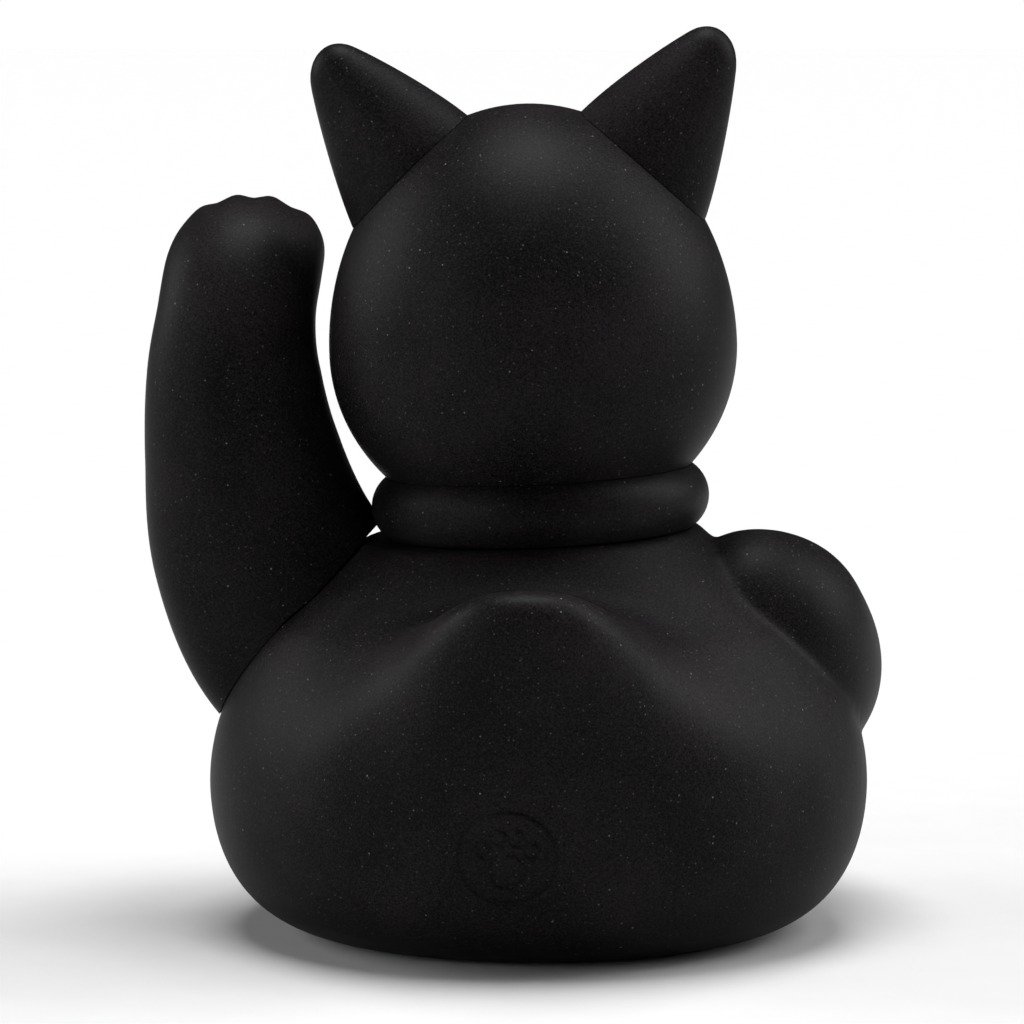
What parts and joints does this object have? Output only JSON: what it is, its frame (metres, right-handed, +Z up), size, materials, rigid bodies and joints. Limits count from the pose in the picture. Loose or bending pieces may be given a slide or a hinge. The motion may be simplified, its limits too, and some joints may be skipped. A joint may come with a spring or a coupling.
{
  "type": "beckoning cat figurine",
  "caption": "Hollow vinyl beckoning cat on a boat-shaped body, with turning head, pivoting raised arm, collar bell and coin.",
  "frame": {"origin": "middle of the flat underside, on the base plug", "axes": "+Z up; the cat faces -Y and its tail points +Y; +X is the cat's own left, the side of the raised arm"},
  "size_m": [0.0883, 0.0903, 0.1073],
  "materials": {
    "black_vinyl": "matt soft-touch black vinyl",
    "hard_plastic": "moulded satin",
    "steel": "dull zinc plated",
    "gilt_plastic": "satin gold paint",
    "bell_brass": "lacquered, satin"
  },
  "bodies": {
    "body": {"body_shell": "black_vinyl", "collar": "black_vinyl", "coin": "gilt_plastic", "neck_joint": "hard_plastic", "shoulder_joint": "hard_plastic", "base_plug": "black_vinyl", "ballast_weight": "steel", "weight_retainer": "hard_plastic"},
    "head": {"head_shell": "black_vinyl", "left_ear": "black_vinyl", "right_ear": "black_vinyl"},
    "arm": {"raised_arm": "black_vinyl"},
    "bell": {"bell": "bell_brass", "bell_ring": "bell_brass"},
    "pellet": {"bell_pellet": "steel"}
  },
  "joints": [
    {"name": "head_turn", "type": "hinge", "parent": "body", "child": "head", "pos_m": [-0.0004, 0, 0.0473], "axis": [0.0471, 0, 0.9989], "range_deg": [-35, 35]},
    {"name": "arm_beckon", "type": "hinge", "parent": "body", "child": "arm", "pos_m": [0.0276, -0.001, 0.038], "axis": [0.7071, 0, 0.7071], "range_deg": [-12, 12]},
    {"name": "bell_swing", "type": "hinge", "parent": "body", "child": "bell", "pos_m": [-0.0004, -0.0212, 0.051], "axis": [1, 0, 0], "range_deg": [-35, 0]},
    {"name": "pellet_rattle", "type": "slide", "parent": "bell", "child": "pellet", "axis": [0, 0, 1], "range_m": [0, 0.004]}
  ]
}
